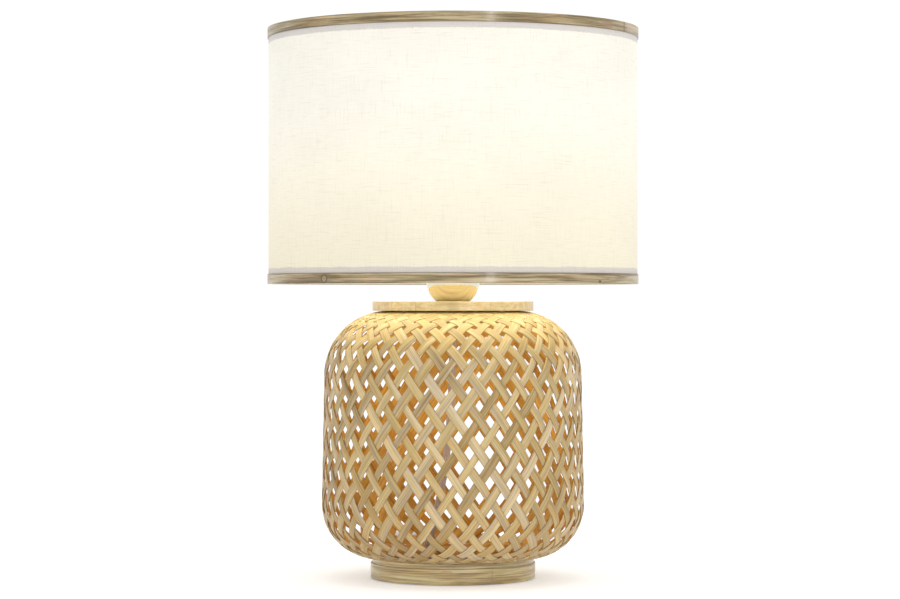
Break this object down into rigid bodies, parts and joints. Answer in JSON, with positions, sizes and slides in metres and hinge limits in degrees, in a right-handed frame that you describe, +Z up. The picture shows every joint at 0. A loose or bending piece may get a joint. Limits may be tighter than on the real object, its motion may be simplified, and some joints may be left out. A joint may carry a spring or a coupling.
{
  "type": "table lamp",
  "caption": "Table lamp with a woven bamboo lantern body on a bamboo foot, a brass ball neck, a linen drum shade with bamboo rims, and a mains lead.",
  "frame": {"origin": "middle of the foot's underside, on the surface the lamp stands on", "axes": "+Z up along the lamp's axis, -Y towards the front, the lead leaves the foot at the rear"},
  "size_m": [0.3, 0.395, 0.4435],
  "materials": {
    "bamboo": "satin lacquer",
    "woven_bamboo": "satin",
    "linen": "woven",
    "liner": "translucent film",
    "white_wire": "powder coat",
    "polished_brass": "polished",
    "zinc_steel": "zinc plated",
    "contact_brass": "plain",
    "holder_plastic": "fine texture",
    "holder_ceramic": "unglazed",
    "base_mdf": "sealed fibreboard",
    "felt": "pressed felt",
    "ballast_iron": "black primer",
    "cord_pvc": "satin",
    "fitting_plastic": "satin",
    "rocker_plastic": "gloss",
    "sleeve_plastic": "satin",
    "nickel": "nickel plated",
    "bulb_opal": "opal diffuser",
    "bulb_white": "satin",
    "bulb_cap_metal": "plain",
    "bulb_glass_black": "gloss"
  },
  "bodies": {
    "base": {"foot_band": "bamboo", "foot_ring": "bamboo", "base_felt": "felt", "base_board": "base_mdf", "ballast_plate": "ballast_iron", "ballast_screws": "zinc_steel", "woven_body": "woven_bamboo", "mouth_hoop": "bamboo", "disc_screws": "zinc_steel", "top_disc": "bamboo", "lamp_tube": "zinc_steel", "tube_washer": "zinc_steel", "tube_nut": "zinc_steel", "ball_neck": "polished_brass", "holder_cap": "holder_plastic", "holder_skirt": "holder_plastic", "holder_insert": "holder_ceramic", "screw_contact": "contact_brass", "centre_contact": "contact_brass", "terminal_screws": "contact_brass", "lead_cores": "cord_pvc", "cord_gland": "fitting_plastic", "inner_lead": "cord_pvc", "cord_to_switch": "cord_pvc", "cord_to_coil": "cord_pvc", "cord_coil": "cord_pvc", "cord_tie": "fitting_plastic", "cord_to_plug": "cord_pvc", "switch_base": "fitting_plastic", "switch_cover": "fitting_plastic", "switch_strips": "contact_brass", "switch_screws": "zinc_steel", "plug_body": "fitting_plastic", "plug_pins": "nickel", "pin_sleeves": "sleeve_plastic"},
    "shade": {"shade_fabric": "linen", "shade_liner": "liner", "bottom_rim_band": "bamboo", "top_rim_band": "bamboo", "bottom_hem": "linen", "top_hem": "linen", "top_wire_ring": "white_wire", "spider_frame": "white_wire"},
    "collar": {"shade_collar": "holder_plastic"},
    "bulb_foot": {"bulb_tip": "bulb_cap_metal", "bulb_insulator": "bulb_glass_black"},
    "bulb": {"bulb_cap": "bulb_cap_metal", "bulb_housing": "bulb_white", "bulb_dome": "bulb_opal"},
    "rocker": {"switch_rocker": "rocker_plastic"}
  },
  "joints": [
    {"name": "shade_turn", "type": "hinge", "parent": "base", "child": "shade", "pos_m": [0, 0, 0.2838], "axis": [0, 0, 1], "continuous": true},
    {"name": "collar_turn", "type": "hinge", "parent": "base", "child": "collar", "pos_m": [0, 0, 0.288], "axis": [0, 0, 1], "range_deg": [0, 1080]},
    {"name": "bulb_travel", "type": "slide", "parent": "base", "child": "bulb_foot", "axis": [0, 0, 1], "range_m": [0, 0.01815]},
    {"name": "bulb_turn", "type": "hinge", "parent": "bulb_foot", "child": "bulb", "pos_m": [0, 0, 0.3], "axis": [0, 0, 1], "range_deg": [0, 1800]},
    {"name": "rocker_tip", "type": "hinge", "parent": "base", "child": "rocker", "pos_m": [-0.053, 0.14, 0.0153], "axis": [1, 0, 0], "range_deg": [0, 20]}
  ],
  "couplings": [
    {"joint": "bulb_travel", "follows": "bulb_turn", "m_per_rad": 0.00057773}
  ]
}
